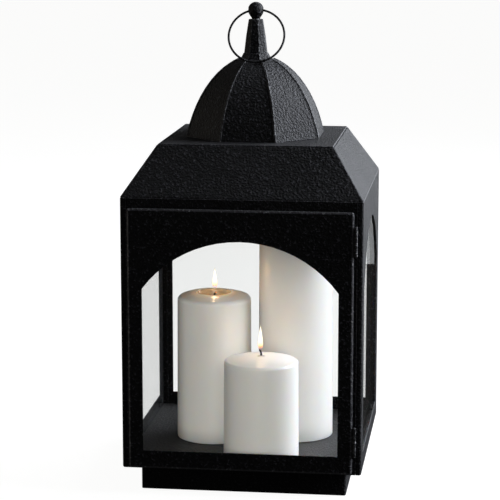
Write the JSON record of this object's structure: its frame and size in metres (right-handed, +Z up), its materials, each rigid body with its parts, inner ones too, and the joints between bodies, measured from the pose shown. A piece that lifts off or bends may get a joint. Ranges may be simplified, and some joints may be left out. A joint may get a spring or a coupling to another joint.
{
  "type": "candle lantern",
  "caption": "Square sheet-steel candle lantern with arched glass windows, hinged door, hip roof, eight-sided dome and a swinging carrying ring over pillar candles.",
  "frame": {"origin": "under the middle of the square plinth, on the surface that the lantern stands on", "axes": "+Z up through the finial, -Y out through the door, +X towards the door's hinges"},
  "size_m": [0.25, 0.2539, 0.5061],
  "materials": {
    "black_powder_coat": "fine-textured matte black powder coat",
    "clear_glass": "clear float glass, polished",
    "candle_wax": "satin white paraffin wax",
    "wick_cotton": "charred braided cotton",
    "zinc_steel": "zinc-plated steel",
    "magnet_ferrite": "dull dark ferrite"
  },
  "bodies": {
    "lantern_body": {"plinth": "black_powder_coat", "floor_tray": "black_powder_coat", "front_frame": "black_powder_coat", "left_wall": "black_powder_coat", "right_wall": "black_powder_coat", "back_wall": "black_powder_coat", "roof_hip": "black_powder_coat", "roof_plate": "black_powder_coat", "dome_gore_1": "black_powder_coat", "dome_gore_2": "black_powder_coat", "dome_gore_3": "black_powder_coat", "dome_gore_4": "black_powder_coat", "dome_gore_5": "black_powder_coat", "dome_gore_6": "black_powder_coat", "dome_gore_7": "black_powder_coat", "dome_gore_8": "black_powder_coat", "dome_cap": "black_powder_coat", "finial_base": "black_powder_coat", "finial_post": "black_powder_coat", "finial_ball": "black_powder_coat", "finial_stud": "zinc_steel", "finial_washer": "zinc_steel", "finial_nut": "zinc_steel", "left_glass": "clear_glass", "right_glass": "clear_glass", "back_glass": "clear_glass", "left_tab_lower_left": "black_powder_coat", "left_tab_lower_right": "black_powder_coat", "left_tab_upper_left": "black_powder_coat", "left_tab_upper_right": "black_powder_coat", "right_tab_lower_left": "black_powder_coat", "right_tab_lower_right": "black_powder_coat", "right_tab_upper_left": "black_powder_coat", "right_tab_upper_right": "black_powder_coat", "back_tab_lower_left": "black_powder_coat", "back_tab_lower_right": "black_powder_coat", "back_tab_upper_left": "black_powder_coat", "back_tab_upper_right": "black_powder_coat", "hinge_upper_frame_leaf": "black_powder_coat", "hinge_upper_pin": "black_powder_coat", "hinge_lower_frame_leaf": "black_powder_coat", "hinge_lower_pin": "black_powder_coat", "catch_magnet": "magnet_ferrite"},
    "door": {"door_panel": "black_powder_coat", "door_glass": "clear_glass", "door_tab_lower_left": "black_powder_coat", "door_tab_lower_right": "black_powder_coat", "door_tab_upper_left": "black_powder_coat", "door_tab_upper_right": "black_powder_coat", "hinge_upper_door_leaf": "black_powder_coat", "hinge_lower_door_leaf": "black_powder_coat"},
    "carry_ring": {"carry_ring": "black_powder_coat"},
    "front_candle": {"front_candle_wax": "candle_wax", "front_candle_wick": "wick_cotton"},
    "middle_candle": {"middle_candle_wax": "candle_wax", "middle_candle_wick": "wick_cotton"},
    "tall_candle": {"tall_candle_wax": "candle_wax", "tall_candle_wick": "wick_cotton"}
  },
  "joints": [
    {"name": "door_hinge", "type": "hinge", "parent": "lantern_body", "child": "door", "pos_m": [0.1177, -0.1271, 0.1655], "axis": [0, 0, 1], "range_deg": [0, 180]},
    {"name": "ring_swing", "type": "hinge", "parent": "lantern_body", "child": "carry_ring", "pos_m": [0, 0, 0.49764], "axis": [-1, 0, 0], "range_deg": [0, 307]},
    {"name": "front_candle_lift", "type": "slide", "parent": "lantern_body", "child": "front_candle", "axis": [0, 0, 1], "range_m": [0, 0.03]},
    {"name": "middle_candle_lift", "type": "slide", "parent": "lantern_body", "child": "middle_candle", "axis": [0, 0, 1], "range_m": [0, 0.03]},
    {"name": "tall_candle_lift", "type": "slide", "parent": "lantern_body", "child": "tall_candle", "axis": [0, 0, 1], "range_m": [0, 0.03]}
  ]
}
